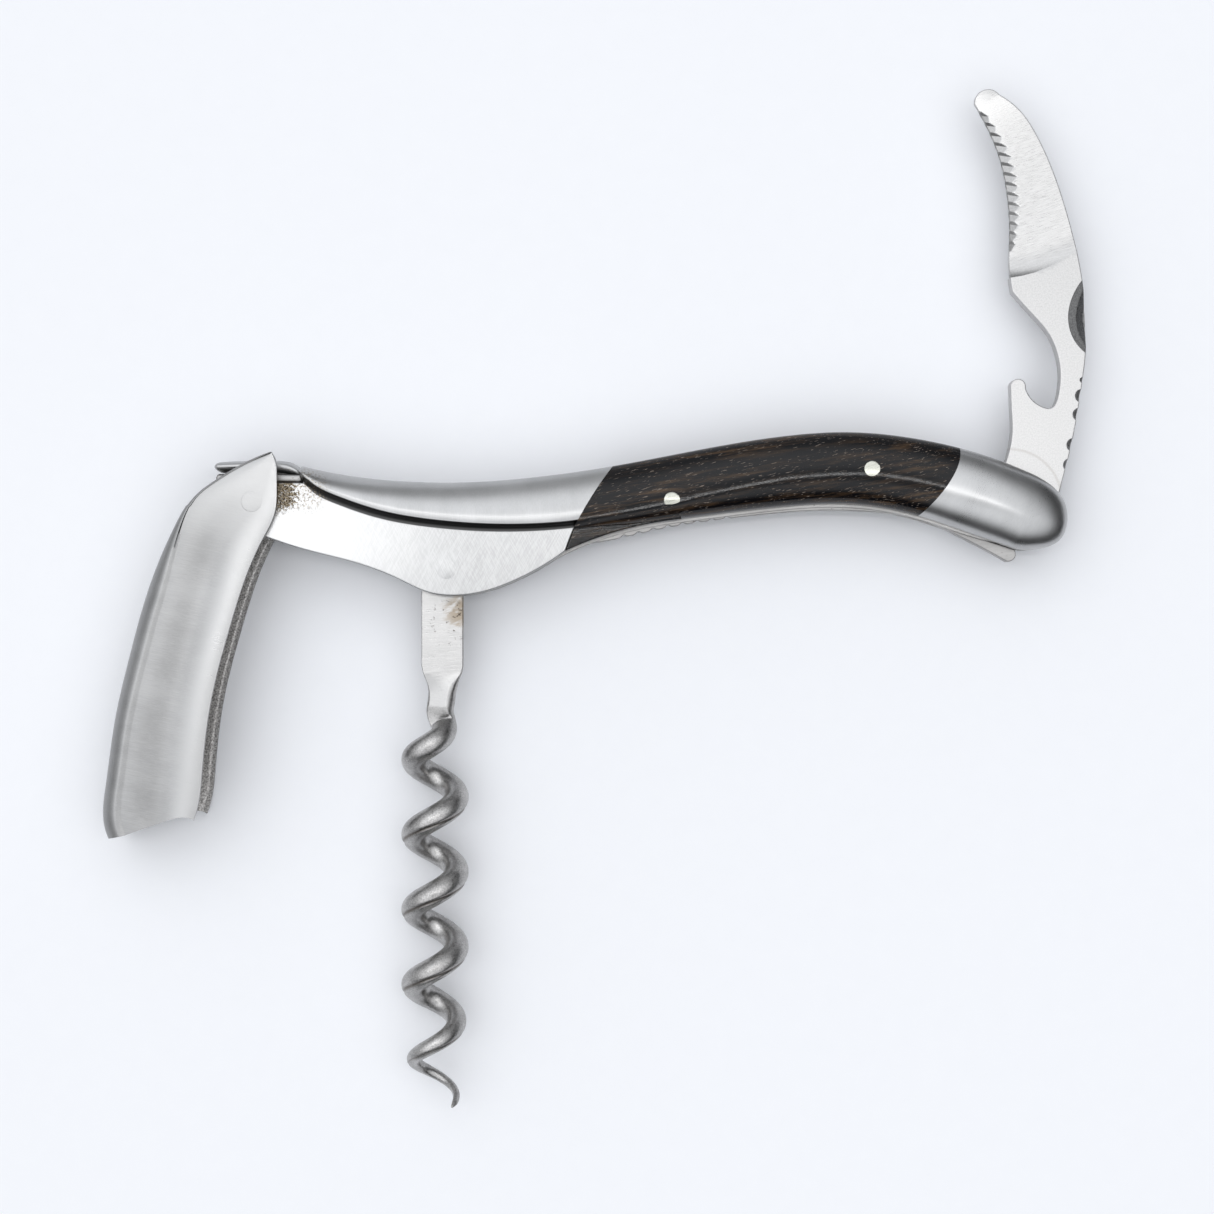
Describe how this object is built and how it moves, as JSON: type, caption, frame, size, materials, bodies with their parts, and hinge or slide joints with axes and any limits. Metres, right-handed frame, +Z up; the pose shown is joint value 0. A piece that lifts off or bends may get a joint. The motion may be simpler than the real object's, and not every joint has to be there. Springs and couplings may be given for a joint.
{
  "type": "waiters corkscrew",
  "caption": "Folding waiters corkscrew: U-shaped bottle lever, worm and serrated foil knife hinged on an S-curved handle with steel bolsters and dark wood scales.",
  "frame": {"origin": "middle of the tool's outline, on the surface it lies on", "axes": "+Z up out of the surface and along the three hinge pins, +X along the handle towards the knife's hinge, +Y away from the worm, along the open knife"},
  "size_m": [0.1393, 0.1454, 0.013],
  "materials": {
    "lever_steel": "satin brushed stainless steel sheet",
    "bolster_steel": "fine satin stainless steel",
    "inner_steel": "plain worn steel",
    "knife_steel": "tumbled steel, brushed on the ground blade",
    "worm_steel": "blasted steel wire",
    "nickel_silver": "polished nickel silver",
    "dark_wood": "polished ebony-like wood with fine brown grain"
  },
  "bodies": {
    "handle": {"front_bolster_left": "bolster_steel", "front_bolster_right": "bolster_steel", "rear_bolster_left": "bolster_steel", "rear_bolster_right": "bolster_steel", "worm_rivet": "bolster_steel", "scale_left": "dark_wood", "scale_right": "dark_wood", "liner_left": "inner_steel", "liner_right": "inner_steel", "back_spring": "inner_steel", "front_spacer": "inner_steel", "head_plate": "inner_steel", "knife_rivet": "inner_steel", "spacer_pin": "inner_steel", "spring_rivet": "nickel_silver", "rear_scale_pin": "nickel_silver"},
    "lever": {"lever": "lever_steel", "lever_rivet": "lever_steel"},
    "worm": {"worm": "worm_steel"},
    "knife": {"knife_blade": "knife_steel"}
  },
  "joints": [
    {"name": "lever_hinge", "type": "hinge", "parent": "handle", "child": "lever", "pos_m": [-0.0485, 0.01375, 0.0065], "axis": [0, 0, 1], "range_deg": [-38, 44]},
    {"name": "worm_hinge", "type": "hinge", "parent": "handle", "child": "worm", "pos_m": [-0.0213, 0.00425, 0.0065], "axis": [0, 0, 1], "range_deg": [0, 90]},
    {"name": "knife_hinge", "type": "hinge", "parent": "handle", "child": "knife", "pos_m": [0.0587, 0.01395, 0.0065], "axis": [0, 0, 1], "range_deg": [-86, 84]}
  ]
}
